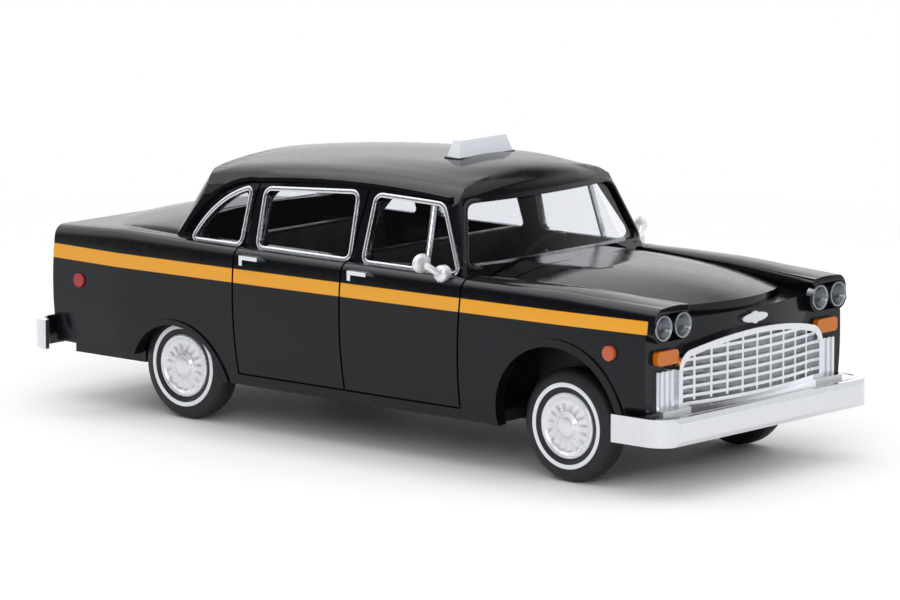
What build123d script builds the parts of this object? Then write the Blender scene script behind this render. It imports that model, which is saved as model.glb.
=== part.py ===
# A small plastic scale model of a four-door taxi saloon. All sizes are in millimetres.
# X points forward, Y to the left, Z up, with the wheels standing on z = 0.
import os
from math import cos, pi, radians, sin, sqrt, tan

from build123d import *

os.makedirs("parts", exist_ok=True)

# Lengths along the car
wheelbase = 35.0
front_overhang = 9.7
rear_overhang = 14.1
nose_setback = 1.8
tail_setback = 1.65
nose_bulge = 0.05
nose_bow_radius = 34.0
nose_step = 0.6

# Widths across the car
body_half_width = 10.85
nose_taper = 0.4
tail_taper = 0.85
cabin_inset = 0.5
roof_inset = 3.2
bumper_overlap = 0.4
tyre_width = 2.0
tyre_inset = 1.15

# Heights
belt_z = 12.85
house_height = 6.55
sill_z = 3.25
tail_sweep = 1.0
nose_sweep = 1.35
brow_drop = 0.4
fin_drop = 0.3

# Walls, fits and fine lines
wall = 0.7
bearing_wall = 0.6
fit_gap = 0.04
groove_width = 0.16
groove_depth = 0.16
bearing_clearance = 0.05

# Places along the car
overall_length = front_overhang + wheelbase + rear_overhang
nose_x = overall_length / 2 - nose_setback
tail_x = -overall_length / 2 + tail_setback
front_axle_x = overall_length / 2 - front_overhang
rear_axle_x = front_axle_x - wheelbase
cabin_x = (front_axle_x + rear_axle_x) / 2
stretch = wheelbase / 35.0
cowl_x = cabin_x + 9.0 * stretch
panel_x = nose_x + nose_bulge

# Places across the car
nose_half_width = body_half_width - nose_taper
tail_half_width = body_half_width - tail_taper
cabin_low_half = body_half_width - cabin_inset
cabin_high_half = body_half_width - roof_inset
wheel_face_y = body_half_width - tyre_inset
bearing_wall_y = wheel_face_y - tyre_width - 0.9
bumper_half_width = body_half_width + bumper_overlap

# Places in height
roof_z = belt_z + house_height
quarter_low_z = sill_z + tail_sweep
front_low_z = sill_z + nose_sweep
brow_z = belt_z - brow_drop
fin_tail_z = belt_z - fin_drop
bay_top_z = belt_z - 2.45
cabin_low_z = belt_z - 2.25
cabin_high_z = roof_z + 0.2
ceiling_z = roof_z - 1.8
ceiling_cut = 1.5

# Wheels and arches
tyre_radius = 3.8
cap_radius = 2.25
axle_radius = 0.5
front_arch_radius = tyre_radius + 1.4
front_arch_z = tyre_radius + 0.2
rear_arch_radius = tyre_radius + 0.8
rear_arch_z = tyre_radius - 1.6
arch_lip_width = 0.55
arch_lip_rise = 0.14

# Base plate and seat tub
chassis_z = sill_z + 0.1
chassis_thickness = 0.8
chassis_top_z = chassis_z + chassis_thickness
chassis_half_width = body_half_width - wall - 0.75
bearing_wall_top_z = bay_top_z - 0.8
floor_thickness = 0.6
floor_top_z = chassis_top_z + floor_thickness
seat_z = floor_top_z + 4.2
seat_back_z = belt_z + 0.4

# Lamps
lamp_z = belt_z - 1.7
lamp_y = nose_half_width - 2.1
lamp_pitch = 2.0
lamp_radius = 0.88
lamp_depth = 0.5
pod_radius = lamp_radius + 0.17
marker_radius = 0.5
marker_depth = 0.4

SIDES = (("left", 1), ("right", -1))
AXLES = (("front", front_axle_x), ("rear", rear_axle_x))

# Body sections from tail to nose: x, half width at the waist, height of the top
BODY = (
    dict(x=tail_x - 0.6, half=tail_half_width, top=fin_tail_z),
    dict(x=tail_x + 7.0 * stretch, half=body_half_width - 0.15, top=belt_z + 0.1),
    dict(x=cabin_x - 11.0 * stretch, half=body_half_width, top=belt_z),
    dict(x=cowl_x - 4.0 * stretch, half=body_half_width, top=belt_z),
    dict(x=nose_x - 8.0 * stretch, half=body_half_width - 0.08, top=belt_z - 0.05),
    dict(x=nose_x + 0.4, half=nose_half_width, top=brow_z),
)
shoulder_radius = 0.9

# Screens: which end, foot at cabin_low_z, rake, bend outside and inside, pillar rounding, roof edge rounding
SCREENS = (
    dict(end=1, base=cabin_x + 10.65 * stretch, rake=23.4, bend=42.0, inner=36.0, corner=0.9, roll=2.7),
    dict(end=-1, base=cabin_x - 21.4 * stretch, rake=29.0, bend=45.0, inner=20.0, corner=2.4, roll=2.4),
)
roof_side_radius = 36.0
roof_length_radius = 105.0 * stretch
roof_flat_half = cabin_high_half - 1.45
# Rolled side of the roof: share across, share down
ROOF_SIDE = ((0, 0), (0.37, 0.125), (0.66, 0.35), (0.88, 0.67), (1, 1))
roof_sweep = 60.0

# Hood and boot sections: x, half width, height of the edge, height of the crown
hood_tip_x = nose_x - 0.4
hood_tip_radius = 10.0
cowl_gap = 0.9
HOOD = (
    dict(x=cowl_x - 0.6, half=body_half_width - 2.75, edge=belt_z - 0.35, crown=belt_z + 0.85),
    dict(x=front_axle_x, half=body_half_width - 3.25, edge=belt_z - 0.55, crown=belt_z + 0.6),
    dict(x=nose_x - 3.2, half=body_half_width - 4.2, edge=belt_z - 1.0, crown=belt_z - 0.05),
    dict(x=hood_tip_x + 0.1, half=body_half_width - 4.85, edge=belt_z - 1.45, crown=belt_z - 0.85),
)
BOOT = (
    dict(x=cabin_x - 15.0 * stretch, half=body_half_width - 2.25, edge=belt_z + 0.05, crown=belt_z + 1.3),
    dict(x=cabin_x - 24.0 * stretch, half=body_half_width - 2.45, edge=belt_z + 0.05, crown=belt_z + 1.05),
    dict(x=tail_x + 0.5, half=body_half_width - 3.25, edge=belt_z - 0.95, crown=belt_z - 0.2),
)
lid_base_z = belt_z - 2.05

# Valley between hood and fenders: x, half width, height of the floor
VALLEY = (
    dict(x=cowl_x - 0.5, half=body_half_width - 2.4, floor=belt_z - 0.3),
    dict(x=nose_x + 0.5, half=body_half_width - 4.15, floor=belt_z - 1.5),
)

# Windows seen from the side: x from the middle of the wheelbase, share of the height from belt to roof
QUARTER_LIGHT = ((-16.3, 0.03), (-14.75, 0.35), (-12.0, 0.58), (-12.0, 0.03))
DOOR_LIGHTS = (
    ((-10.2, 0.03), (-10.4, 0.595), (-2.2, 0.672), (-1.9, 0.03)),
    ((-0.4, 0.03), (-0.3, 0.672), (5.6, 0.657), (7.9, 0.03)),
)

# Screen openings seen from the front: start x, cut length, half width low and high, share of height low and high
SCREEN_LIGHTS = (
    dict(x=cabin_x + 3.5 * stretch, cut=12, low=1.35, high=0.1, z_low=0.084, z_high=0.687, radius=0.6),
    dict(x=cabin_x - 14.0 * stretch, cut=-12, low=3.75, high=1.75, z_low=0.2, z_high=0.68, radius=0.8),
)

# Door shut lines: x at the sill, at the belt and at the top end, and that end's share of the height
DOOR_LINES = (
    dict(sill=-11.45, belt=-11.75, end=-11.2, share=0.66),
    dict(sill=-1.55, belt=-1.75, end=-1.15, share=0.73),
    dict(sill=8.85, belt=9.1, end=9.1, share=-0.01),
)
door_low_z = sill_z + 0.8

# Gutter over the side windows: arc points as x and share of the height
GUTTERS = (
    ((-17.4, 0.07), (-15.5, 0.465), (-11.1, 0.70)),
    ((-11.1, 0.70), (-3.2, 0.775), (6.1, 0.735)),
)
gutter_width = 0.26
gutter_rise = 0.16

# Side lamps: x, y of the skin, z
SIDE_MARKERS = dict(
    front_side_markers=(nose_x - 3.45, body_half_width - 0.2, belt_z - 3.55),
    rear_side_markers=(tail_x + 3.0, body_half_width - 0.5, belt_z - 3.9),
)


def cabin_point(x, share):
    """A point of the side view from its x along the cabin and its share of the height from belt to roof."""
    return (cabin_x + x * stretch, belt_z + share * house_height)


def lower_body(inset, low_z):
    """The body below the belt, lofted along the car: rounded sections outside, plain ones for the hollow inside."""
    inside = inset >= wall
    waist_z = (sill_z + belt_z) / 2 + 0.4
    with BuildPart() as form:
        for row in BODY:
            half = row["half"] - inset
            top = row["top"] - inset
            with BuildSketch(Plane.YZ.offset(row["x"])) as section:
                for side in (1, -1):
                    foot, waist, crest = (side * (half - 0.6), sill_z), (side * half, waist_z), (side * (half - 0.35), top)
                    with BuildLine():
                        if inside:
                            Polyline(foot, waist, crest)
                        else:
                            ThreePointArc(foot, waist, crest)
                        Polyline(crest, (0, top), (0, low_z), (foot[0], low_z), foot)
                    make_face()
                if not inside:
                    fillet(section.vertices().filter_by(lambda v: v.Y > belt_z - 2 and abs(v.X) > 1), shoulder_radius)
        loft(ruled=True)
        with Locations(((nose_x + tail_x) / 2, 0, 0)):
            Box(nose_x - tail_x - 2 * inset, 60, 80, mode=Mode.INTERSECT)
    return form.part


def lid(sections):
    """A crowned panel lofted along the car through its table of sections."""
    with BuildPart() as form:
        for row in sections:
            with BuildSketch(Plane.YZ.offset(row["x"])) as section:
                with BuildLine():
                    Polyline(
                        (row["half"], row["edge"]),
                        (row["half"], lid_base_z),
                        (-row["half"], lid_base_z),
                        (-row["half"], row["edge"]),
                    )
                    ThreePointArc((-row["half"], row["edge"]), (0, row["crown"]), (row["half"], row["edge"]))
                make_face()
                fillet(section.vertices().filter_by(lambda v: v.Y > lid_base_z + 0.3), 0.5)
        loft()
    return form.part


def screen_drum(end, point, normal_angle, bend):
    """A drum of the screen's bend that touches the given point, its axis square to the outward normal."""
    angle = radians(normal_angle)
    normal = (end * cos(angle), 0, sin(angle))
    upward = (-end * sin(angle), 0, cos(angle))
    middle = (point[0] - bend * normal[0], 0, point[1] - bend * normal[2])
    with BuildPart() as drum:
        with BuildSketch(Plane(origin=middle, x_dir=(-normal[0], 0, -normal[2]), z_dir=upward)):
            Circle(bend)
        extrude(amount=45, both=True)
    return drum.part


def rolled_drum(row, rise, crown_x, crown_z):
    """The drum of a screen with its upper edge rolled over into the line of the roof."""
    end = row["end"]
    rake = radians(row["rake"])
    foot_reach = end * (row["base"] - crown_x) + rise / cos(rake)
    edge_reach = foot_reach - (crown_z - cabin_low_z) * tan(rake)
    edge_z = crown_z - edge_reach**2 / (2 * roof_length_radius)
    roof_angle = rake + edge_reach / roof_length_radius
    edge = (edge_z - cabin_low_z) / cos(rake)
    tangent = row["roll"] * tan((pi / 2 - roof_angle) / 2)
    radius = row["bend"] + rise + 0.003
    start = (radius, edge - tangent)
    finish = (radius - tangent * cos(roof_angle), edge + tangent * sin(roof_angle))
    top = (finish[0] - 25 * cos(roof_angle), finish[1] + 25 * sin(roof_angle))
    middle = (row["base"] - end * row["bend"] * cos(rake), 0, cabin_low_z - row["bend"] * sin(rake))
    with BuildPart() as drum:
        with BuildSketch(Plane(origin=middle, x_dir=(-end * cos(rake), 0, -sin(rake)), z_dir=(0, end, 0))):
            with BuildLine():
                Polyline((0, top[1]), (0, -45), (radius, -45), start)
                TangentArc(start, finish, tangent=(0, 1))
                Polyline(finish, top, (0, top[1]))
            make_face()
        revolve(axis=Axis(middle, (-end * sin(rake), 0, cos(rake))))
    return drum.part


def cabin_block(inset, low_z, top_z):
    """Cabin walls as a block: leaning sides between the bent front and rear screens, level at top and bottom."""
    lean = (cabin_low_half - cabin_high_half) / (cabin_high_z - cabin_low_z)
    low_half = cabin_low_half - lean * (low_z - cabin_low_z) - inset * sqrt(1 + lean**2)
    top_half = cabin_low_half - lean * (top_z - cabin_low_z) - inset * sqrt(1 + lean**2)
    inside = inset >= wall
    flank = [(low_half, low_z), (top_half, top_z)]
    if inside:
        flank[1:] = [(top_half + lean * ceiling_cut, top_z - ceiling_cut), (top_half - ceiling_cut, top_z)]
    with BuildPart() as form:
        with BuildSketch(Plane.YZ.offset(cabin_x)):
            with BuildLine():
                Polyline(*flank, *[(-y, z) for y, z in reversed(flank)], close=True)
            make_face()
        extrude(amount=30 * stretch, both=True)
        for row in SCREENS:
            foot = (row["base"] - row["end"] * inset / cos(radians(row["rake"])), cabin_low_z)
            bend = row["inner"] if inside else row["bend"]
            add(screen_drum(row["end"], foot, row["rake"], bend), mode=Mode.INTERSECT)
    return form.part


def greenhouse(rise):
    """Cabin under its crowned roof: rounded pillars, sides rolled over, front and rear edges rolled in steps."""
    crown_z = roof_z + rise
    crown_x = cabin_x - 2 * stretch
    edge_r = roof_length_radius - roof_flat_half**2 / (2 * roof_side_radius)
    side_y = roof_flat_half + 2.4
    side_r = edge_r - 1.9
    roll = [(roof_flat_half + 2.4 * across, edge_r - 1.9 * down) for across, down in ROOF_SIDE]
    with BuildPart() as form:
        add(cabin_block(-rise, cabin_low_z, cabin_high_z))
        for row in SCREENS:
            pillars = form.edges().filter_by(
                lambda e: row["end"] * (e.center().X - cabin_x) > 6 * stretch and abs(e.center().Y) > cabin_low_half * 0.7
            )
            fillet(pillars, row["corner"])
        sweep = radians(roof_sweep / 2)
        hinge = (crown_x, 0, crown_z - roof_length_radius)
        with BuildSketch(Plane(origin=hinge, x_dir=(0, 1, 0), z_dir=(cos(sweep), 0, sin(sweep)))):
            with BuildLine():
                ThreePointArc((-roof_flat_half, edge_r), (0, roof_length_radius), (roof_flat_half, edge_r))
                for side in (-1, 1):
                    Polyline(*[(side * y, r) for y, r in roll], (side * (side_y + 3), side_r - 13))
                Line((-side_y - 3, side_r - 13), (side_y + 3, side_r - 13))
            make_face()
        revolve(axis=Axis(hinge, (0, 1, 0)), revolution_arc=roof_sweep, mode=Mode.INTERSECT)
        for row in SCREENS:
            add(rolled_drum(row, rise, crown_x, crown_z), mode=Mode.INTERSECT)
    return form.part


def nose_drum(lift):
    """A form whose front is the nose panel, bowed in the middle and flat under the lamps, raised by lift."""
    with BuildPart() as drum:
        with Locations((panel_x - nose_bow_radius, 0, belt_z)):
            Cylinder(nose_bow_radius + lift, 40, rotation=(0, 0, 180))
        with Locations((nose_x - nose_step + lift - 5, 0, belt_z)):
            Box(10, 4 * body_half_width, 40)
    return drum.part


def window_cuts(shrink):
    """Prisms through every window opening, drawn in by shrink on each side."""
    with BuildPart() as cuts:
        with BuildSketch(Plane.XZ) as sides:
            for points in DOOR_LIGHTS:
                with BuildLine():
                    Polyline(*[cabin_point(x, share) for x, share in points], close=True)
                make_face()
            low, middle, high, corner = [cabin_point(x, share) for x, share in QUARTER_LIGHT]
            with BuildLine():
                ThreePointArc(low, middle, high)
                Polyline(high, corner, low)
            make_face()
            fillet(sides.vertices(), 0.45)
            if shrink:
                offset(amount=-shrink, kind=Kind.INTERSECTION)
        extrude(amount=body_half_width, both=True)
        for row in SCREEN_LIGHTS:
            low_half = cabin_low_half - row["low"]
            high_half = cabin_high_half - row["high"]
            low_z = belt_z + row["z_low"] * house_height
            high_z = belt_z + row["z_high"] * house_height
            with BuildSketch(Plane.YZ.offset(row["x"])) as screen:
                with BuildLine():
                    Polyline((-low_half, low_z), (low_half, low_z), (high_half, high_z), (-high_half, high_z), close=True)
                make_face()
                fillet(screen.vertices(), row["radius"])
                if shrink:
                    offset(amount=-shrink, kind=Kind.INTERSECTION)
            extrude(amount=row["cut"])
    return cuts.part


# Body shell
with BuildPart() as body_shell:
    add(lower_body(0, sill_z - 0.01))
    for row in VALLEY:
        with BuildSketch(Plane.YZ.offset(row["x"])):
            with Locations((0, row["floor"] + 2)):
                Rectangle(2 * row["half"], 4)
    loft(mode=Mode.SUBTRACT)
    with BuildPart(mode=Mode.ADD):
        add(lid(HOOD))
        with BuildPart(mode=Mode.INTERSECT):
            with Locations((hood_tip_x - hood_tip_radius, 0, belt_z)):
                Cylinder(hood_tip_radius, 10)
            with Locations(((cowl_x + hood_tip_x - hood_tip_radius) / 2 - 1, 0, belt_z)):
                Box(hood_tip_x - hood_tip_radius - cowl_x + 4, 2 * body_half_width, 10)
    add(lid(BOOT))
    add(greenhouse(0))
    # Flat lips round the wheel arches and gutters over the side windows
    with BuildPart(mode=Mode.ADD):
        with BuildSketch(Plane.XZ):
            with Locations((front_axle_x - 0.2, front_arch_z)):
                Circle(front_arch_radius + arch_lip_width)
            with Locations((rear_axle_x + 0.1, rear_arch_z)):
                Circle(rear_arch_radius + arch_lip_width * 0.7)
        extrude(amount=body_half_width + 2, both=True)
        add(lower_body(-arch_lip_rise, sill_z - 0.01), mode=Mode.INTERSECT)
    with BuildPart(mode=Mode.ADD):
        with BuildSketch(Plane.XZ):
            for points in GUTTERS:
                with BuildLine() as gutter:
                    ThreePointArc(*[cabin_point(x, share) for x, share in points])
                trace(gutter.line, line_width=gutter_width)
        extrude(amount=body_half_width, both=True)
        add(cabin_block(-gutter_rise, cabin_low_z, roof_z - 1), mode=Mode.INTERSECT)
    # Hollow inside: low bays front and rear, the full cabin between them
    with BuildPart(mode=Mode.SUBTRACT):
        add(lower_body(wall, -2))
        with Locations(((nose_x - 2.6 + tail_x) / 2, 0, bay_top_z - 15)):
            Box(nose_x - 2.6 - tail_x, 60, 30, mode=Mode.INTERSECT)
    with BuildPart(mode=Mode.SUBTRACT):
        add(lower_body(wall, -2))
        with Locations((cabin_x - 3.2 * stretch, 0, belt_z)):
            Box(22.6 * stretch, 60, 20, mode=Mode.INTERSECT)
    add(cabin_block(wall, bay_top_z, ceiling_z), mode=Mode.SUBTRACT)
    add(window_cuts(0), mode=Mode.SUBTRACT)
    # Lower edges ahead of and behind the wheels, then the wheel arches
    with BuildSketch(Plane.XZ):
        with Locations(((front_axle_x + nose_x + 2) / 2, front_low_z - 5)):
            Rectangle(nose_x + 2 - front_axle_x, 10)
        with Locations(((rear_axle_x + tail_x - 2) / 2, quarter_low_z - 5)):
            Rectangle(rear_axle_x - tail_x + 2, 10)
        with Locations((front_axle_x - 0.2, front_arch_z)):
            Circle(front_arch_radius)
        with Locations((rear_axle_x + 0.1, rear_arch_z)):
            Circle(rear_arch_radius)
    extrude(amount=body_half_width + 2, both=True, mode=Mode.SUBTRACT)
    # Door shut lines, the line above the sill and the line of the boot lid on the tail
    with BuildPart(mode=Mode.SUBTRACT):
        with BuildSketch(Plane.XZ):
            for row in DOOR_LINES:
                with BuildLine() as shut:
                    Polyline(
                        (cabin_x + row["sill"] * stretch, door_low_z),
                        (cabin_x + row["belt"] * stretch, belt_z),
                        cabin_point(row["end"], row["share"]),
                    )
                trace(shut.line, line_width=groove_width)
            with BuildLine() as foot:
                Line(
                    (cabin_x + DOOR_LINES[0]["sill"] * stretch, door_low_z),
                    (cabin_x + DOOR_LINES[-1]["sill"] * stretch, door_low_z),
                )
            trace(foot.line, line_width=groove_width)
        extrude(amount=body_half_width + 2, both=True)
        add(lower_body(groove_depth, -2), mode=Mode.SUBTRACT)
        add(cabin_block(groove_depth, cabin_low_z, cabin_high_z), mode=Mode.SUBTRACT)
    with BuildPart(mode=Mode.SUBTRACT):
        front_screen = SCREENS[0]
        for lift, mode in ((cowl_gap + groove_width, Mode.ADD), (cowl_gap, Mode.SUBTRACT)):
            foot = (front_screen["base"] + lift, cabin_low_z)
            add(screen_drum(1, foot, 0, front_screen["bend"]), mode=mode)
        with Locations((cowl_x + 6, 0, belt_z + 1)):
            Box(10, 2 * HOOD[0]["half"] - 0.6, 3, mode=Mode.INTERSECT)
        with Locations((0, 0, -groove_depth)):
            add(lid(HOOD), mode=Mode.SUBTRACT)
    lid_half = tail_half_width - 3.3
    with BuildSketch(Plane.YZ.offset(tail_x)):
        with BuildLine() as lid_line:
            Polyline(
                (-lid_half - 0.2, belt_z),
                (-lid_half, quarter_low_z + 2.3),
                (lid_half, quarter_low_z + 2.3),
                (lid_half + 0.2, belt_z),
            )
        trace(lid_line.line, line_width=groove_width)
    extrude(amount=groove_depth, mode=Mode.SUBTRACT)
    # Bowed nose panel, leaving the lamp pods and the brows over them standing
    with BuildPart(mode=Mode.SUBTRACT):
        with BuildSketch(Plane.YZ.offset(nose_x - 3)):
            with Locations((0, lamp_z - 6)):
                Rectangle(4 * body_half_width, 12)
            with Locations((0, lamp_z + 1)):
                Rectangle(2 * (lamp_y - lamp_pitch / 2 - pod_radius), 2.4)
            for name, side in SIDES:
                with Locations((side * lamp_y, lamp_z)):
                    SlotCenterToCenter(lamp_pitch, 2 * pod_radius, mode=Mode.SUBTRACT)
        extrude(amount=6)
        add(nose_drum(0), mode=Mode.SUBTRACT)
    # Lamp pockets in the nose and pockets for the side lamps
    for name, side in SIDES:
        with BuildSketch(Plane.YZ.offset(nose_x)):
            with Locations((side * lamp_y, lamp_z)):
                SlotCenterToCenter(lamp_pitch, 2 * (lamp_radius + fit_gap))
        extrude(amount=-lamp_depth, mode=Mode.SUBTRACT)
        for marker_x, marker_y, marker_z in SIDE_MARKERS.values():
            with BuildSketch(Plane.XZ.offset(-side * (marker_y - marker_depth))):
                with Locations((marker_x, marker_z)):
                    Circle(marker_radius + fit_gap)
            extrude(amount=-side * 2, mode=Mode.SUBTRACT)
body_shell.part.label = "body_shell"
export_step(body_shell.part, "parts/body_shell.step")

# Clear glazing: panes set into the openings on a thin liner behind them
glass_setback = 0.2
glass_low_z = belt_z - 0.25
glass_top_z = ceiling_z - 0.1
with BuildPart() as glazing:
    add(cabin_block(glass_setback, glass_low_z, glass_top_z))
    add(window_cuts(fit_gap), mode=Mode.INTERSECT)
    add(cabin_block(wall + fit_gap, glass_low_z, glass_top_z))
    add(cabin_block(wall + 0.4, glass_low_z - 1, glass_top_z + 1), mode=Mode.SUBTRACT)
glazing.part.label = "glazing"
export_step(glazing.part, "parts/glazing.step")

# Seat tub: floor, two benches and the dashboard
bench_half = cabin_high_half + 0.25
with BuildPart() as seat_tub:
    with BuildSketch(Plane.XY.offset(chassis_top_z)):
        with Locations((cabin_x - 1.2 * stretch, 0)):
            Rectangle(20.8 * stretch, 2 * chassis_half_width - 0.4)
    extrude(amount=floor_thickness)
    with BuildSketch(Plane.XZ):
        with BuildLine():
            Polyline(
                (cabin_x + 3.2, floor_top_z),
                (cabin_x + 3.4, seat_z),
                (cabin_x - 0.9, seat_z - 0.3),
                (cabin_x - 1.6, seat_back_z),
                (cabin_x - 2.6, seat_back_z),
                (cabin_x - 2.2, floor_top_z),
                close=True,
            )
        make_face()
    extrude(amount=bench_half, both=True)
    rear_bench_x = cabin_x - 12.0 * stretch
    with BuildSketch(Plane.XZ):
        with BuildLine():
            Polyline(
                (rear_bench_x + 4.2, floor_top_z),
                (rear_bench_x + 4.4, seat_z),
                (rear_bench_x, seat_z - 0.3),
                (rear_bench_x - 0.9, seat_back_z),
                (rear_bench_x - 2.0, seat_back_z),
                (rear_bench_x - 1.4, bay_top_z - 0.5),
                (rear_bench_x + 0.6, floor_top_z),
                close=True,
            )
        make_face()
    extrude(amount=bearing_wall_y - bearing_wall, both=True)
    dash_x = cabin_x + 7.9 * stretch
    with BuildSketch(Plane.XZ):
        with BuildLine():
            Polyline(
                (dash_x + 1.2, floor_top_z),
                (dash_x + 0.6, floor_top_z),
                (dash_x - 0.6, bay_top_z + 0.1),
                (dash_x - 1.7, bay_top_z + 0.5),
                (dash_x - 1.6, belt_z - 0.25),
                (dash_x, belt_z + 0.05),
                (dash_x, bay_top_z - 0.1),
                close=True,
            )
        make_face()
    extrude(amount=cabin_high_half - 0.3, both=True)
    fillet(seat_tub.edges().filter_by(Axis.Y).filter_by(lambda e: e.center().Z > seat_z - 0.5), 0.3)
seat_tub.part.label = "seat_tub"
export_step(seat_tub.part, "parts/seat_tub.step")

# Steering wheel on its column, left of the middle
wheel_rim = 2.25
wheel_lean = (-0.82, 0, 0.57)
column_length = 2.35
wheel_plane = Plane(
    origin=(dash_x - 4.0, cabin_high_half / 2 + 0.2, belt_z - 0.75), x_dir=(0, 1, 0), z_dir=wheel_lean
)
with BuildPart() as steering_wheel:
    with BuildSketch(wheel_plane):
        Circle(wheel_rim)
        Circle(wheel_rim - 0.3, mode=Mode.SUBTRACT)
        Rectangle(2 * wheel_rim - 0.3, 0.34)
        Circle(0.55)
    extrude(amount=0.15, both=True)
    with BuildSketch(wheel_plane):
        Circle(0.28)
    extrude(amount=-column_length)
steering_wheel.part.label = "steering_wheel"
export_step(steering_wheel.part, "parts/steering_wheel.step")

# Chassis: base plate, bearing walls with axle bores, moulded underside
well_half_width = bearing_wall_y + bearing_wall / 2
end_half_width = tail_half_width - 1.4
rail_y = bearing_wall_y - 1.4
with BuildPart() as chassis:
    with BuildSketch(Plane.XY.offset(chassis_z)):
        with BuildLine():
            Polyline(
                (nose_x - 0.9, 0),
                (nose_x - 0.9, end_half_width),
                (front_axle_x + tyre_radius + 1.1, end_half_width),
                (front_axle_x + tyre_radius + 1.1, well_half_width),
                (front_axle_x - tyre_radius - 1.8, well_half_width),
                (front_axle_x - tyre_radius - 1.8, chassis_half_width),
                (rear_axle_x + tyre_radius + 1.2, chassis_half_width),
                (rear_axle_x + tyre_radius + 1.2, well_half_width),
                (rear_axle_x - tyre_radius - 0.9, well_half_width),
                (rear_axle_x - tyre_radius - 0.9, end_half_width),
                (tail_x + 0.8, end_half_width),
                (tail_x + 0.8, 0),
            )
            mirror(about=Plane.XZ)
        make_face()
    extrude(amount=chassis_thickness)
    for name, axle_x in AXLES:
        with Locations((axle_x, 0, chassis_top_z + 0.4)):
            Box(2.6, 2 * bearing_wall_y, 1.6)
        for label, side in SIDES:
            with Locations((axle_x, side * bearing_wall_y, (chassis_z + bearing_wall_top_z) / 2)):
                Box(2 * tyre_radius + 1.4, bearing_wall, bearing_wall_top_z - chassis_z)
    # Frame rails, sump, tank, propeller shaft, exhaust pipe and silencer in relief
    for side in (-1, 1):
        with Locations((cabin_x, side * rail_y, chassis_z - 0.2)):
            Box(wheelbase + 14, 0.9, 0.5)
    with Locations((front_axle_x - 7.0, 0, chassis_z - 0.25)):
        Box(8.0 * stretch, 4.2, 0.7)
    with Locations((tail_x + 5.0 * stretch, 0, chassis_z - 0.25)):
        Box(5.6 * stretch, 0.9 * well_half_width, 0.7)
    with Locations((cabin_x - 3.5, 0, chassis_z - 0.1)):
        Cylinder(0.45, 19.0 * stretch, rotation=(0, 90, 0))
    with Locations((cabin_x - 5.5 * stretch, -rail_y + 2.0, chassis_z - 0.1)):
        Cylinder(0.3, 42.0 * stretch, rotation=(0, 90, 0))
    with Locations((cabin_x - 4.0 * stretch, -rail_y + 2.0, chassis_z - 0.15)):
        Cylinder(0.75, 6.5, rotation=(0, 90, 0))
    for name, axle_x in AXLES:
        with Locations((axle_x, 0, tyre_radius - 1.4)):
            Box(1.5, 2 * (bearing_wall_y - bearing_wall / 2), 4.0, mode=Mode.SUBTRACT)
        with Locations((axle_x, 0, tyre_radius)):
            Cylinder(
                axle_radius + bearing_clearance, 2 * wheel_face_y, rotation=(90, 0, 0), mode=Mode.SUBTRACT
            )
chassis.part.label = "chassis"
export_step(chassis.part, "parts/chassis.step")

# Wheelsets: a pin with a capped wheel pressed on at each end
axle_half_length = wheel_face_y - 0.6
for name, axle_x in AXLES:
    spin = Axis((axle_x, 0, tyre_radius), (0, 1, 0))
    with BuildPart() as axle:
        with Locations((axle_x, 0, tyre_radius)):
            Cylinder(axle_radius, 2 * axle_half_length, rotation=(90, 0, 0))
    axle.part.label = name + "_axle"
    export_step(axle.part, "parts/" + name + "_axle.step")
    for label, side in SIDES:
        outer_y = side * wheel_face_y
        inner_y = side * (wheel_face_y - tyre_width)
        with BuildPart() as tyre:
            with BuildSketch(Plane.YZ.offset(axle_x)):
                with BuildLine():
                    Polyline(
                        (inner_y, tyre_radius + cap_radius),
                        (inner_y, 2 * tyre_radius - 0.45),
                        (inner_y + side * 0.3, 2 * tyre_radius),
                        (outer_y - side * 0.3, 2 * tyre_radius),
                        (outer_y, 2 * tyre_radius - 0.55),
                        (outer_y - side * 0.12, tyre_radius + cap_radius),
                        close=True,
                    )
                make_face()
            revolve(axis=spin)
        tyre.part.label = name + "_tyre_" + label
        export_step(tyre.part, "parts/" + name + "_tyre_" + label + ".step")
        with BuildPart() as cap:
            with BuildSketch(Plane.YZ.offset(axle_x)):
                with BuildLine():
                    Polyline(
                        (inner_y + side * 0.4, tyre_radius + axle_radius),
                        (inner_y + side * 0.4, tyre_radius + cap_radius),
                        (outer_y, tyre_radius + cap_radius * 0.94),
                        (outer_y - side * 0.24, tyre_radius + cap_radius * 0.74),
                        (outer_y - side * 0.14, tyre_radius + cap_radius * 0.38),
                        (outer_y + side * 0.16, tyre_radius + cap_radius * 0.2),
                        (outer_y + side * 0.16, tyre_radius),
                        (side * axle_half_length, tyre_radius),
                        (side * axle_half_length, tyre_radius + axle_radius),
                        close=True,
                    )
                make_face()
            revolve(axis=spin)
        cap.part.label = name + "_wheel_cap_" + label
        export_step(cap.part, "parts/" + name + "_wheel_cap_" + label + ".step")

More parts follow.
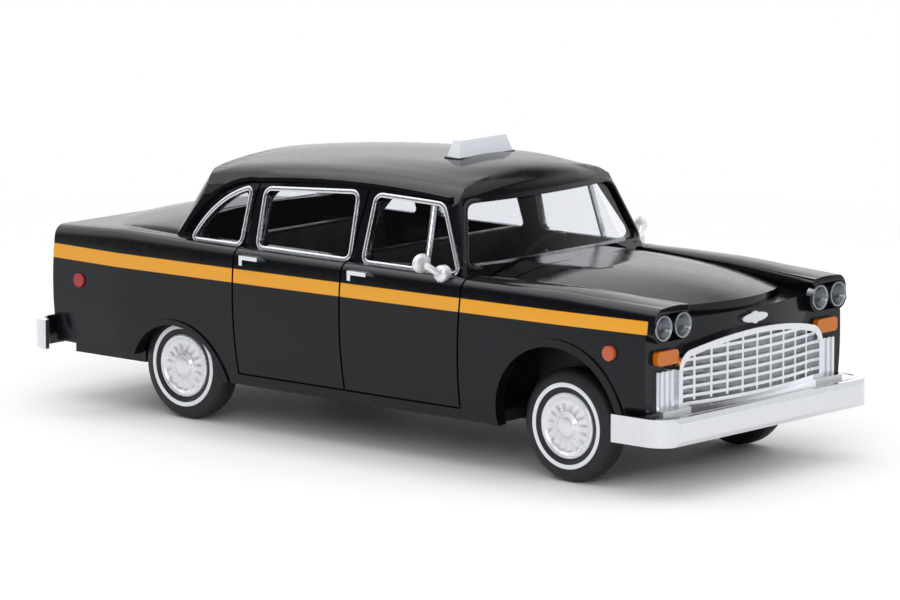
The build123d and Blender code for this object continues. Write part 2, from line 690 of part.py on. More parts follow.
# Bumpers: bars with a bowed face wrapped round the corners, with two brackets each
BUMPERS = (
    dict(name="front_bumper", facing=1, tip=nose_x - 2.8, plate=nose_x - 0.9, low=3.6, height=1.85, corner=1.7),
    dict(name="rear_bumper", facing=-1, tip=tail_x + 0.4, plate=tail_x + 0.8, low=3.8, height=2.1, corner=1.9),
)
bumper_thickness = 0.7
bumper_edge = 0.14
wrap_thickness = 0.35
for row in BUMPERS:
    facing = row["facing"]
    face_x = facing * overall_length / 2
    back_x = face_x - facing * bumper_thickness
    wrap_y = bumper_half_width - wrap_thickness
    top_z = row["low"] + row["height"]
    with BuildPart() as bumper:
        with BuildSketch(Plane.XY.offset(row["low"])) as band:
            with BuildLine():
                Polyline(
                    (row["tip"], -bumper_half_width),
                    (face_x, -bumper_half_width),
                    (face_x, bumper_half_width),
                    (row["tip"], bumper_half_width),
                    close=True,
                )
            make_face()
            fillet(band.vertices().filter_by(lambda v: facing * (v.X - row["tip"]) > 0.5), row["corner"])
            with BuildSketch(mode=Mode.SUBTRACT) as hollow:
                with BuildLine():
                    Polyline(
                        (row["tip"] - facing, -wrap_y),
                        (back_x, -wrap_y),
                        (back_x, wrap_y),
                        (row["tip"] - facing, wrap_y),
                        close=True,
                    )
                make_face()
                fillet(hollow.vertices().filter_by(lambda v: facing * (v.X - row["tip"]) > 0.2), row["corner"] - 0.4)
        extrude(amount=row["height"])
        with BuildSketch(Plane.XZ):
            with BuildLine():
                Polyline(
                    (face_x - facing * bumper_edge, row["low"]),
                    (face_x, row["low"] + 0.3),
                    (face_x, top_z - 0.35),
                    (face_x - facing * bumper_edge, top_z),
                    (row["tip"] - facing, top_z),
                    (row["tip"] - facing, row["low"]),
                    close=True,
                )
            make_face()
        extrude(amount=2 * bumper_half_width, both=True, mode=Mode.INTERSECT)
        inner_x = back_x + facing * 0.1
        for bracket_y in (-rail_y, rail_y):
            with Locations(((row["plate"] + inner_x) / 2, bracket_y, row["low"] + 0.2)):
                Box(abs(inner_x - row["plate"]), 1.0, 0.26)
    bumper.part.label = row["name"]
    export_step(bumper.part, "parts/" + row["name"] + ".step")

# Grille: arched frame, crossing bars, lower bar and ribbed side panels, all on the bowed nose panel
grille_half = nose_half_width - 2.75
grille_low_z = front_low_z + 1.0
grille_top_z = belt_z - 2.7
grille_edge_z = grille_top_z - 1.95
shoulder_z = grille_top_z - 0.75
frame_width = 0.38
frame_rise = 0.65
bar_rise = 0.42
bar_width = 0.2
bar_pitch_z = 0.6
bar_pitch_y = 1.5
rib_rise = 0.38


def grille_outline(inset):
    """Arched outline of the grille, drawn in by inset."""
    half = grille_half - inset
    low_z = grille_low_z + inset
    with BuildSketch() as outline:
        with BuildLine():
            ThreePointArc(
                (-half + 1.1, shoulder_z - inset), (0, grille_top_z - inset), (half - 1.1, shoulder_z - inset)
            )
            for side in (-1, 1):
                corner, shoulder = (side * half, grille_edge_z), (side * (half - 1.1), shoulder_z - inset)
                ThreePointArc(corner, (side * (half - 0.33), grille_edge_z + 0.75 - inset * 0.7), shoulder)
            Polyline((half, grille_edge_z), (half, low_z), (-half, low_z), (-half, grille_edge_z))
        make_face()
    return outline.sketch_local


with BuildPart() as grille:
    with BuildSketch(Plane.YZ.offset(panel_x - 3)):
        add(grille_outline(0))
        add(grille_outline(frame_width), mode=Mode.SUBTRACT)
    extrude(amount=6)
    add(nose_drum(frame_rise), mode=Mode.INTERSECT)
    with BuildPart(mode=Mode.ADD):
        with BuildSketch(Plane.YZ.offset(panel_x - 3)):
            add(grille_outline(frame_width / 2))
            with BuildSketch(mode=Mode.INTERSECT):
                with Locations((0, (grille_low_z + grille_top_z) / 2 - 0.05)):
                    with GridLocations(0, bar_pitch_z, 1, 6):
                        Rectangle(2 * grille_half, bar_width)
                    with GridLocations(bar_pitch_y, 0, 9, 1):
                        Rectangle(bar_width, 2 * (grille_top_z - grille_low_z))
        extrude(amount=6)
        add(nose_drum(bar_rise), mode=Mode.INTERSECT)
    panel_height = grille_edge_z - grille_low_z
    for label, side in SIDES:
        with BuildPart(mode=Mode.ADD):
            with Locations((panel_x - 1, side * (grille_half + 0.9), grille_low_z + panel_height / 2)):
                Box(4, 1.8, panel_height)
            add(nose_drum(rib_rise / 2), mode=Mode.INTERSECT)
        with BuildPart(mode=Mode.ADD):
            for shift in (0.4, 0.95, 1.5):
                with Locations((panel_x - 1, side * (grille_half + shift), grille_low_z + panel_height / 2)):
                    Box(4, 0.26, panel_height)
            add(nose_drum(rib_rise), mode=Mode.INTERSECT)
    with BuildPart(mode=Mode.ADD):
        with Locations((panel_x - 1, 0, grille_low_z - 0.1)):
            Box(5, 2 * grille_half + 3.8, 0.36)
        add(nose_drum(frame_rise + 0.2), mode=Mode.INTERSECT)
    add(nose_drum(0), mode=Mode.SUBTRACT)
grille.part.label = "grille"
export_step(grille.part, "parts/grille.step")

# Plain oval badge over the grille
with BuildPart() as nose_emblem:
    with BuildSketch(Plane.YZ.offset(panel_x - 1)):
        with Locations((0, grille_top_z + 0.62)):
            Ellipse(1.35, 0.32)
            Circle(0.42)
    extrude(amount=3)
    add(nose_drum(0.25), mode=Mode.INTERSECT)
    add(nose_drum(0), mode=Mode.SUBTRACT)
nose_emblem.part.label = "nose_emblem"
export_step(nose_emblem.part, "parts/nose_emblem.step")

# Domed lens of a headlamp
lens_radius = lamp_radius - 0.2
lens_rise = 0.25

# Lamps and mirrors on each side
tail_lamp_y = tail_half_width - 1.6
mirror_x = cowl_x - 2.0
for label, side in SIDES:
    with BuildPart() as headlamps:
        with BuildSketch(Plane.YZ.offset(nose_x - lamp_depth)):
            with Locations((side * lamp_y, lamp_z)):
                SlotCenterToCenter(lamp_pitch, 2 * lamp_radius)
        extrude(amount=0.2)
        for centre_y in (lamp_y - lamp_pitch / 2, lamp_y + lamp_pitch / 2):
            with BuildSketch(Plane.XZ.offset(-side * centre_y)):
                with BuildLine():
                    Polyline(
                        (nose_x - lamp_depth, lamp_z),
                        (nose_x - lamp_depth, lamp_z + lamp_radius),
                        (nose_x + 0.1, lamp_z + lamp_radius),
                        (nose_x - 0.05, lamp_z + lens_radius),
                        (nose_x - 0.05 + lens_rise, lamp_z + lens_radius * 0.4),
                        (nose_x - 0.05 + lens_rise, lamp_z),
                        close=True,
                    )
                make_face()
            revolve(axis=Axis((0, side * centre_y, lamp_z), (1, 0, 0)))
    headlamps.part.label = "headlamps_" + label
    export_step(headlamps.part, "parts/headlamps_" + label + ".step")
    with BuildPart() as turn_signal:
        with BuildSketch(Plane.YZ.offset(nose_x - 3)):
            with Locations((side * (nose_half_width - 1.9), lamp_z - 2.05)):
                RectangleRounded(2.2, 0.95, 0.3)
        extrude(amount=5)
        add(nose_drum(0.4), mode=Mode.INTERSECT)
        add(nose_drum(0), mode=Mode.SUBTRACT)
    turn_signal.part.label = "turn_signal_" + label
    export_step(turn_signal.part, "parts/turn_signal_" + label + ".step")
    with BuildPart() as tail_lamps:
        with BuildSketch(Plane.YZ.offset(tail_x)):
            with Locations((side * tail_lamp_y, belt_z - 3.4)):
                RectangleRounded(1.6, 3.6, 0.5)
        extrude(amount=-0.25)
        for centre_z in (belt_z - 4.3, belt_z - 2.5):
            with Locations((tail_x - 0.3, side * tail_lamp_y, centre_z)):
                Cylinder(0.65, 0.6, rotation=(0, 90, 0))
    tail_lamps.part.label = "tail_lamps_" + label
    export_step(tail_lamps.part, "parts/tail_lamps_" + label + ".step")
    mirror_y = side * (body_half_width + 0.65)
    with BuildPart() as mirror_arm:
        with Locations((mirror_x + 0.3, side * (body_half_width - 0.45), belt_z)):
            Box(0.9, 0.5, 0.9)
        with BuildSketch(Plane.YZ.offset(mirror_x)):
            with BuildLine():
                Polyline(
                    (mirror_y - side * 1.2, belt_z - 0.05),
                    (mirror_y - side * 0.1, belt_z + 0.65),
                    (mirror_y - side * 0.1, belt_z + 0.95),
                    (mirror_y - side * 1.3, belt_z + 0.25),
                    close=True,
                )
            make_face()
        extrude(amount=0.3, both=True)
        with Locations((mirror_x - 0.4, mirror_y, belt_z + 0.85)):
            Cylinder(0.75, 0.5, rotation=(0, 90, 0))
        add(lower_body(0, sill_z - 0.01), mode=Mode.SUBTRACT)
    mirror_arm.part.label = "mirror_" + label
    export_step(mirror_arm.part, "parts/mirror_" + label + ".step")

# Round side lamps, one pair at the front wings and one at the rear wings
for name, (marker_x, marker_y, marker_z) in SIDE_MARKERS.items():
    with BuildPart() as markers:
        for label, side in SIDES:
            with BuildSketch(Plane.XZ.offset(-side * (marker_y - marker_depth))):
                with Locations((marker_x, marker_z)):
                    Circle(marker_radius)
            extrude(amount=-side * (marker_depth + 0.15))
    markers.part.label = name
    export_step(markers.part, "parts/" + name + ".step")

# Door handles: a bar hooked down at its rear end
with BuildPart() as door_handles:
    for label, side in SIDES:
        for handle_x in (cabin_x - 10.0 * stretch, cabin_x + 0.05):
            with Locations((handle_x, side * (body_half_width - 0.1), belt_z - 0.55)):
                Box(1.7, 0.5, 0.28)
            with Locations((handle_x - 0.7, side * (body_half_width - 0.1), belt_z - 0.8)):
                Box(0.3, 0.5, 0.6)
    add(lower_body(0, sill_z - 0.01), mode=Mode.SUBTRACT)
door_handles.part.label = "door_handles"
export_step(door_handles.part, "parts/door_handles.step")

# Roof sign: a blank wedge on a base plate, seated on the roof
sign_half = 3.0
sign_depth = 1.2
sign_base = 0.25
sign_x = cabin_x + 1.6 * stretch
sign_top_z = roof_z + 1.25
with BuildPart() as roof_sign:
    with BuildSketch(Plane.YZ.offset(sign_x)):
        with BuildLine():
            Polyline(
                (-sign_half, roof_z - 0.8),
                (sign_half, roof_z - 0.8),
                (sign_half, roof_z),
                (sign_half - 0.2, roof_z + 0.1),
                (sign_half - 0.6, sign_top_z),
                (-sign_half + 0.6, sign_top_z),
                (-sign_half + 0.2, roof_z + 0.1),
                (-sign_half, roof_z),
                close=True,
            )
        make_face()
    extrude(amount=sign_depth, both=True)
    with BuildSketch(Plane.XZ):
        with BuildLine():
            Polyline(
                (sign_x + sign_depth / 2 + sign_base, roof_z - 0.8),
                (sign_x + sign_depth / 2 + sign_base, roof_z),
                (sign_x + sign_depth / 2, roof_z + 0.1),
                (sign_x + sign_depth / 4, sign_top_z),
                (sign_x - sign_depth / 4, sign_top_z),
                (sign_x - sign_depth / 2, roof_z + 0.1),
                (sign_x - sign_depth / 2 - sign_base, roof_z),
                (sign_x - sign_depth / 2 - sign_base, roof_z - 0.8),
                close=True,
            )
        make_face()
    extrude(amount=body_half_width, both=True, mode=Mode.INTERSECT)
    add(greenhouse(0), mode=Mode.SUBTRACT)
roof_sign.part.label = "roof_sign"
export_step(roof_sign.part, "parts/roof_sign.step")
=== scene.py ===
from math import atan2, cos, hypot, pi, radians, sin, sqrt

import bmesh
import bpy
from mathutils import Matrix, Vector
from mathutils.bvhtree import BVHTree


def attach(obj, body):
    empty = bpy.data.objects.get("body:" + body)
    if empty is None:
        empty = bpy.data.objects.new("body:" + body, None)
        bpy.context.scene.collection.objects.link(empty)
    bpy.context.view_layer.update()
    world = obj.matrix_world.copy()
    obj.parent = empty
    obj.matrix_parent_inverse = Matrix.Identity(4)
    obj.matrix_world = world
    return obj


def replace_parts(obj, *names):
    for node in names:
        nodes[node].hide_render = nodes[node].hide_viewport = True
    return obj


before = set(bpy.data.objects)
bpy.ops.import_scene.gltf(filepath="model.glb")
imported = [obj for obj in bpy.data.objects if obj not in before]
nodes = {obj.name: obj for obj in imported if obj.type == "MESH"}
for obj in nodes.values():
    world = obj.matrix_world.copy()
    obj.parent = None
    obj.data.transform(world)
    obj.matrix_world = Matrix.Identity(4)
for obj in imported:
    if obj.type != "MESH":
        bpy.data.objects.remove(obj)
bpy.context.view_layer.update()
MM = 0.001

# Sizes of the solids that the added pieces sit on, in millimetres: X forward, Y left, Z up
SIDES = {"left": 1, "right": -1}
AXLES = {"front": 19.7, "rear": -15.3}
TYRE_R, WHEEL_Y = 3.8, 9.7
NOSE_X, NOSE_TIP, NOSE_BOW, NOSE_END = 27.6, 27.65, 34.0, 27.0
CABIN_X, BELT_Z, HOUSE_HEIGHT = 2.2, 12.85, 6.55
SIDE_Y, SIDE_Z, SIDE_LEAN = 10.35, 10.6, 0.3
ROOF_X, ROOF_TOP, ROOF_BOW, ROOF_BEND = 0.2, 19.4, 105.0, 36.0
SCREENS = {
    "front": dict(end=1, base=12.85, rake=23.4, bend=42.0),
    "rear": dict(end=-1, base=-19.2, rake=29.0, bend=45.0),
}


# Node helpers
def new(tree, kind, **values):
    node = tree.nodes.new("ShaderNode" + kind)
    for name, value in values.items():
        setattr(node, name, value)
    return node


def plug(tree, value, socket):
    """Link a socket or set a constant."""
    if isinstance(value, bpy.types.NodeSocket):
        tree.links.new(value, socket)
    else:
        socket.default_value = value


def calc(tree, operation, *values):
    node = new(tree, "Math", operation=operation)
    for value, socket in zip(values, node.inputs):
        plug(tree, value, socket)
    return node.outputs[0]


def ramp(tree, value, low, high, to_low=0.0, to_high=1.0, smooth=True):
    node = new(tree, "MapRange", interpolation_type="SMOOTHSTEP" if smooth else "LINEAR")
    limits = {"Value": value, "From Min": low, "From Max": high, "To Min": to_low, "To Max": to_high}
    for name, number in limits.items():
        plug(tree, number, node.inputs[name])
    return node.outputs["Result"]


def blend_colour(tree, factor, a, b):
    node = new(tree, "Mix", data_type="RGBA")
    plug(tree, factor, node.inputs["Factor"])
    plug(tree, a, node.inputs[6])
    plug(tree, b, node.inputs[7])
    return node.outputs[2]


def position(tree):
    return new(tree, "TexCoord").outputs["Object"]


def split(tree, vector):
    node = new(tree, "SeparateXYZ")
    tree.links.new(vector, node.inputs[0])
    return node.outputs


def noise(tree, where, scale, detail=3.0):
    node = new(tree, "TexNoise")
    tree.links.new(where, node.inputs["Vector"])
    node.inputs["Scale"].default_value = scale
    node.inputs["Detail"].default_value = detail
    return node.outputs["Fac"]


def new_material(name):
    mat = bpy.data.materials.new(name)
    mat.use_nodes = True
    return mat, mat.node_tree, mat.node_tree.nodes["Principled BSDF"]


def rgb(r, g, b):
    """Colour given in display values, as linear light."""
    shares = (v / 255 for v in (r, g, b))
    return tuple(v / 12.92 if v < 0.0404 else ((v + 0.055) / 1.055) ** 2.4 for v in shares) + (1.0,)


def shade(colour, factor):
    return tuple(min(v * factor, 1.0) for v in colour[:3]) + (1.0,)


# Finishes
DRIFT_SCALE, DRIFT_DETAIL = 140.0, 2.0
GRAIN_DEPTH = 0.02
NOISE_SPAN = (0.3, 0.7)
LEAST_ROUGH = 0.01
PLASTIC_IOR = 1.38
CLEAR_GRAIN, CLEAR_SPAN = 700.0, 0.03
WHITE = (1.0, 1.0, 1.0, 1.0)


def surface(name, colour, rough, metal=0.0, grain=1800.0, span=0.06, bump=0.05, tone=0.12):
    """A moulded or plated finish: fine grain in roughness and relief, slow drift in tone."""
    mat, tree, shader = new_material(name)
    where = position(tree)
    fine = noise(tree, where, grain)
    slow = noise(tree, where, DRIFT_SCALE, DRIFT_DETAIL)
    shader.inputs["Metallic"].default_value = metal
    grained = ramp(tree, fine, *NOISE_SPAN, max(rough - span, LEAST_ROUGH), rough + span, False)
    plug(tree, grained, shader.inputs["Roughness"])
    tint = blend_colour(tree, slow, shade(colour, 1 - tone), shade(colour, 1 + tone))
    plug(tree, tint, shader.inputs["Base Color"])
    relief = new(tree, "Bump")
    relief.inputs["Strength"].default_value = bump
    relief.inputs["Distance"].default_value = GRAIN_DEPTH * MM
    plug(tree, fine, relief.inputs["Height"])
    plug(tree, relief.outputs[0], shader.inputs["Normal"])
    return mat


# Stripe: each edge's height at the middle of the car and its rise towards the nose, then its limits
ORANGE = rgb(237, 165, 50)
STRIPE_LOW, STRIPE_HIGH = (10.53, 0.0092), (11.47, 0.0071)
STRIPE_SOFT = 0.03
STRIPE_FRONT = (27.05, 27.1)
STRIPE_OUT = (9.4, 9.5)
STRIPE_FACING = (0.35, 0.45)


def add_stripe(mat):
    """Orange stripe along both sides of the painted shell."""
    tree = mat.node_tree
    base = tree.nodes["Principled BSDF"].inputs["Base Color"]
    x, y, z = split(tree, position(tree))
    normal = split(tree, new(tree, "NewGeometry").outputs["True Normal"])
    lines = (STRIPE_LOW, STRIPE_HIGH)
    low, high = (calc(tree, "MULTIPLY_ADD", x, rise, height * MM) for height, rise in lines)
    over, below = calc(tree, "SUBTRACT", z, low), calc(tree, "SUBTRACT", high, z)
    outside = calc(tree, "ABSOLUTE", y)
    mask = ramp(tree, calc(tree, "MULTIPLY", normal[1], calc(tree, "SIGN", y)), *STRIPE_FACING)
    for edge in (
        ramp(tree, over, -STRIPE_SOFT * MM, STRIPE_SOFT * MM),
        ramp(tree, below, -STRIPE_SOFT * MM, STRIPE_SOFT * MM),
        ramp(tree, x, STRIPE_FRONT[0] * MM, STRIPE_FRONT[1] * MM, 1.0, 0.0),
        ramp(tree, outside, STRIPE_OUT[0] * MM, STRIPE_OUT[1] * MM),
    ):
        mask = calc(tree, "MULTIPLY", mask, edge)
    plug(tree, blend_colour(tree, mask, base.links[0].from_socket, ORANGE), base)


def clear_plastic(name, tint, rough):
    """Thin clear plastic: see-through, with a Fresnel reflection on its outer face."""
    mat, tree, shader = new_material(name)
    tree.nodes.remove(shader)
    clear = new(tree, "BsdfTransparent")
    clear.inputs["Color"].default_value = tint
    shine = new(tree, "BsdfGlossy")
    fine = noise(tree, position(tree), CLEAR_GRAIN)
    plug(tree, ramp(tree, fine, *NOISE_SPAN, rough, rough + CLEAR_SPAN, False), shine.inputs["Roughness"])
    edge = new(tree, "Fresnel")
    edge.inputs["IOR"].default_value = PLASTIC_IOR
    outer = calc(tree, "SUBTRACT", 1.0, new(tree, "NewGeometry").outputs["Backfacing"])
    mix = new(tree, "MixShader")
    plug(tree, calc(tree, "MULTIPLY", edge.outputs[0], outer), mix.inputs[0])
    tree.links.new(clear.outputs[0], mix.inputs[1])
    tree.links.new(shine.outputs[0], mix.inputs[2])
    tree.links.new(mix.outputs[0], tree.nodes["Material Output"].inputs["Surface"])
    return mat


paint = surface("gloss_black", rgb(11, 13, 16), 0.15, span=0.05, bump=0.02)
gloss = paint.node_tree.nodes["Principled BSDF"]
gloss.inputs["IOR"].default_value = PLASTIC_IOR
gloss.inputs["Specular Tint"].default_value = (0.88, 0.94, 1.0, 1.0)
add_stripe(paint)
chrome = surface("bright_plating", rgb(232, 234, 238), 0.16, metal=1.0, tone=0.04)
trim = surface("silver_trim", rgb(222, 224, 229), 0.24, metal=1.0, bump=0.04, tone=0.04)
seal = surface("screen_seal", rgb(26, 27, 30), 0.3, bump=0.1)
lamp_grey = surface("lamp_bowl", rgb(150, 153, 158), 0.3, metal=1.0, span=0.1, bump=0.2, tone=0.15)
tub = surface("matt_black", rgb(24, 24, 26), 0.5, span=0.1, bump=0.2, grain=1200)
under = surface("base_black", rgb(22, 22, 24), 0.42, span=0.1, bump=0.15, grain=900)
steel = surface("pin_steel", rgb(170, 172, 176), 0.28, metal=1.0, span=0.08)
sign_white = surface("sign_white", rgb(240, 244, 252), 0.32, span=0.05, tone=0.03)
satin = surface("satin_silver", rgb(240, 242, 246), 0.34, metal=0.6, span=0.08, bump=0.08, tone=0.05)
recess = surface("grille_recess", rgb(164, 166, 170), 0.38, metal=1.0, span=0.1, bump=0.1, tone=0.1)
amber = surface("amber_lens", rgb(206, 112, 12), 0.2, span=0.05, bump=0.08, tone=0.2)
marker_front = surface("marker_orange", rgb(196, 92, 52), 0.24, span=0.05)
marker_rear = surface("marker_red", rgb(170, 44, 50), 0.24, span=0.05)
red = surface("red_lens", rgb(160, 14, 16), 0.16, span=0.04)
rubber = surface("tyre_rubber", rgb(25, 26, 29), 0.55, span=0.08, bump=0.25, grain=1500)
whitewall = surface("white_ring", rgb(236, 239, 246), 0.45, tone=0.04)
clear_pane = clear_plastic("clear_pane", (0.95, 0.955, 0.97, 1.0), 0.02)
clear_lens = clear_plastic("clear_lens", (0.62, 0.65, 0.68, 1.0), 0.04)

# Nodes that aren't named here are tyres or plated
FINISH = dict(
    body_shell=paint, glazing=clear_pane, seat_tub=tub, steering_wheel=tub, chassis=under,
    front_axle=steel, rear_axle=steel, nose_emblem=trim, roof_sign=sign_white,
    turn_signal_left=amber, turn_signal_right=amber, tail_lamps_left=red, tail_lamps_right=red,
    front_side_markers=marker_front, rear_side_markers=marker_rear,
)
for name, node in nodes.items():
    node.data.materials.clear()
    node.data.materials.append(FINISH.get(name, rubber if "tyre" in name else chrome))


# Mesh helpers
def place(name, mesh, body):
    piece = bpy.data.objects.new(name, mesh)
    bpy.context.collection.objects.link(piece)
    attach(piece, body)
    return piece


def add_mesh(name, verts, faces, mat, body, sharp=35.0):
    """A piece from points in millimetres, smooth up to the given crease in degrees."""
    mesh = bpy.data.meshes.new(name)
    mesh.from_pydata([Vector(v) * MM for v in verts], [], faces)
    edit = bmesh.new()
    edit.from_mesh(mesh)
    bmesh.ops.recalc_face_normals(edit, faces=edit.faces)
    edit.to_mesh(mesh)
    edit.free()
    mesh.materials.append(mat)
    mesh.shade_smooth()
    mesh.set_sharp_from_angle(angle=radians(sharp))
    return place(name, mesh, body)


def ring_faces(rows, count, start=0, closed=False):
    """Quads between rings of the same number of points, the last one joined to the first if closed."""
    faces = []
    for i in range(rows if closed else rows - 1):
        for j in range(count):
            here, there = start + i * count, start + (i + 1) % rows * count
            k = (j + 1) % count
            faces.append((here + j, here + k, there + k, there + j))
    return faces


def swept(sections):
    """Points and faces of a solid through closed sections, with a ladder of faces over either end."""
    count, last = len(sections[0]), len(sections) - 1
    faces = ring_faces(len(sections), count)
    for base in (0, last * count):
        for k in range((count - 1) // 2):
            rung = (k, k + 1, count - 2 - k, count - 1 - k)
            faces.append(tuple(base + i for i in dict.fromkeys(rung)))
    return [point for section in sections for point in section], faces


def lathe(profile, centre, axis, count, ripple=None):
    """Rings round an axis: profile rows are (distance along the axis, radius)."""
    verts = []
    for reach, radius in profile:
        for j in range(count):
            turn = 2 * pi * j / count
            shift = reach + (ripple(radius, turn) if ripple else 0.0)
            a, b = radius * cos(turn), radius * sin(turn)
            if axis == "x":
                verts.append((centre[0] + shift, centre[1] + a, centre[2] + b))
            else:
                verts.append((centre[0] + a, centre[1] + shift, centre[2] + b))
    return verts


def mirrored(profile, side):
    return [(side * reach, radius) for reach, radius in profile]


def rounded(points, radius, steps=5, most=0.45):
    """A closed outline with its corners rounded, over no more than a share of either edge."""
    out = []
    total = len(points)
    for i in range(total):
        p, a, b = Vector(points[i]), Vector(points[i - 1]), Vector(points[(i + 1) % total])
        to_a, to_b = a - p, b - p
        reach = min(radius, most * to_a.length, most * to_b.length)
        start, end = p + to_a.normalized() * reach, p + to_b.normalized() * reach
        for k in range(steps + 1):
            t = k / steps
            out.append(start * (1 - t) ** 2 + p * 2 * t * (1 - t) + end * t**2)
    return out


def outward(loop):
    """Unit normals of a closed outline, pointing out of it."""
    ahead = loop[1:] + loop[:1]
    area = sum(p.x * q.y - q.x * p.y for p, q in zip(loop, ahead))
    normals = []
    for i, q in enumerate(ahead):
        run = (q - loop[i - 1]).normalized()
        normals.append(Vector((run.y, -run.x)) * (1 if area > 0 else -1))
    return normals


def arc(a, b, c, steps=10):
    """Points on the arc through three points."""
    (ax, ay), (bx, by), (cx, cy) = a, b, c
    aa, bb, cc = (px**2 + py**2 for px, py in (a, b, c))
    d = 2 * (ax * (by - cy) + bx * (cy - ay) + cx * (ay - by))
    ux = (aa * (by - cy) + bb * (cy - ay) + cc * (ay - by)) / d
    uy = (aa * (cx - bx) + bb * (ax - cx) + cc * (bx - ax)) / d
    r = hypot(ax - ux, ay - uy)
    first, last = atan2(ay - uy, ax - ux), atan2(cy - uy, cx - ux)
    while last - first > pi:
        last -= 2 * pi
    while last - first < -pi:
        last += 2 * pi
    turns = (first + (last - first) * k / steps for k in range(steps + 1))
    return [(ux + r * cos(turn), uy + r * sin(turn)) for turn in turns]


def table(rows, x):
    """Value at x by straight lines between the rows."""
    for (x0, v0), (x1, v1) in zip(rows, rows[1:]):
        if x <= x1:
            return v0 + (v1 - v0) * (x - x0) / (x1 - x0)
    return rows[-1][1]


def sagitta(radius, y):
    """How far a bow of the given radius falls back at y."""
    return radius - sqrt(radius**2 - y**2)


# Trims and seals: a strip's section is (distance out of the opening, height over the skin)
STRIP = ((0.3, -0.12), (0.3, 0.05), (0.22, 0.1), (0.08, 0.1), (0.0, 0.05), (0.0, -0.3))
POST = ((0.0, -0.45), (0.0, -0.12), (-0.05, -0.08), (-0.11, -0.08))
# The last section is for the dark strip under the roof sign, a painted shadow
SIGN_SHADOW = ((0.12, -0.2), (0.12, 0.04), (0.08, 0.07), (0.0, 0.07), (-0.06, -0.2))
WINDOW_CORNER, POST_CORNER, WINDSCREEN_CORNER, BACKLIGHT_CORNER, SIGN_CORNER = 0.45, 0.05, 0.6, 0.8, 0.12


def strip(name, outline, radius, on_skin, mat=trim, section=STRIP):
    """A strip round an outline, on the skin that on_skin(u, v, height) gives."""
    loop = rounded(outline, radius)
    normals = outward(loop)
    verts = []
    for out, lift in section:
        for p, n in zip(loop, normals):
            q = p + n * out
            verts.append(on_skin(q.x, q.y, lift))
    return add_mesh(name, verts, ring_faces(len(section), len(loop)), mat, "car")


def on_side(side):
    def skin(px, pz, lift):
        return (px, side * (SIDE_Y - SIDE_LEAN * (pz - SIDE_Z) + lift), pz)
    return skin


def on_screen(screen):
    """The bent, raked screen at a width and a height."""
    end, base, rake, bend = (SCREENS[screen][key] for key in ("end", "base", "rake", "bend"))
    angle = radians(rake)
    middle_x, middle_z = base - end * bend * cos(angle), SIDE_Z - bend * sin(angle)

    def skin(py, pz, lift):
        reach = sqrt((bend + lift) ** 2 - py**2)
        return (middle_x + end * (reach - (pz - middle_z) * sin(angle)) / cos(angle), py, pz)
    return skin


def cabin(x, share):
    """A point on the cabin's side: x from its middle, share of the height over the belt."""
    return (CABIN_X + x, BELT_Z + share * HOUSE_HEIGHT)


WINDOWS = {
    "quarter_light":
        arc(cabin(-16.3, 0.03), cabin(-14.75, 0.35), cabin(-12.0, 0.58)) + [cabin(-12.0, 0.03)],
    "rear_door_light":
        [cabin(-10.2, 0.03), cabin(-10.4, 0.595), cabin(-2.2, 0.672), cabin(-1.9, 0.03)],
    "front_door_light":
        [cabin(-0.4, 0.03), cabin(-0.3, 0.672), cabin(5.6, 0.657), cabin(7.9, 0.03)],
}
VENT_POST = [(CABIN_X + px, pz) for px, pz in ((4.85, 12.95), (4.45, 17.25), (4.7, 17.25), (5.1, 12.95))]
WINDSCREEN = [(-9.0, 13.4), (9.0, 13.4), (7.55, 17.35), (-7.55, 17.35)]
BACKLIGHT = [(-6.6, 14.16), (6.6, 14.16), (5.9, 17.3), (-5.9, 17.3)]
for label, side in SIDES.items():
    for name, outline in WINDOWS.items():
        strip(name + "_trim_" + label, outline, WINDOW_CORNER, on_side(side))
    strip("vent_post_" + label, VENT_POST, POST_CORNER, on_side(side), section=POST)
strip("windscreen_seal", WINDSCREEN, WINDSCREEN_CORNER, on_screen("front"), seal)
strip("backlight_seal", BACKLIGHT, BACKLIGHT_CORNER, on_screen("rear"), seal)

# Wheels: tyre with a rounded shoulder and a white ring, plated cover with a lobed dish and a boss
TYRE = (
    (-1.98, 2.26), (-2.0, 2.6), (-1.98, 3.1), (-1.9, 3.42), (-1.72, 3.66), (-1.45, 3.77), (-1.0, 3.8),
    (-0.55, 3.78), (-0.28, 3.68), (-0.1, 3.48), (-0.02, 3.2), (0.0, 2.95), (0.0, 2.9), (0.03, 2.88),
    (0.03, 2.62), (0.0, 2.6), (-0.03, 2.4), (-0.12, 2.26), (-1.0, 2.25),
)
CAP = (
    (-1.5, 0.6), (-1.5, 2.23), (-0.14, 2.23), (-0.05, 2.2), (0.0, 2.1), (-0.02, 2.0), (-0.1, 1.92),
    (-0.2, 1.82), (-0.24, 1.66), (-0.24, 1.5), (-0.22, 1.3), (-0.19, 1.1), (-0.16, 0.95), (-0.1, 0.84),
    (-0.02, 0.78), (0.06, 0.72), (0.11, 0.6), (0.14, 0.4), (0.155, 0.2), (0.16, 0.001),
)
WHEEL_STEPS = 128
RING_INNER, RING_OUTER = 2.6, 2.9
LOBES, LOBE_HEIGHT, LOBE_R, LOBE_SPAN = 16, 0.05, 1.42, 0.42


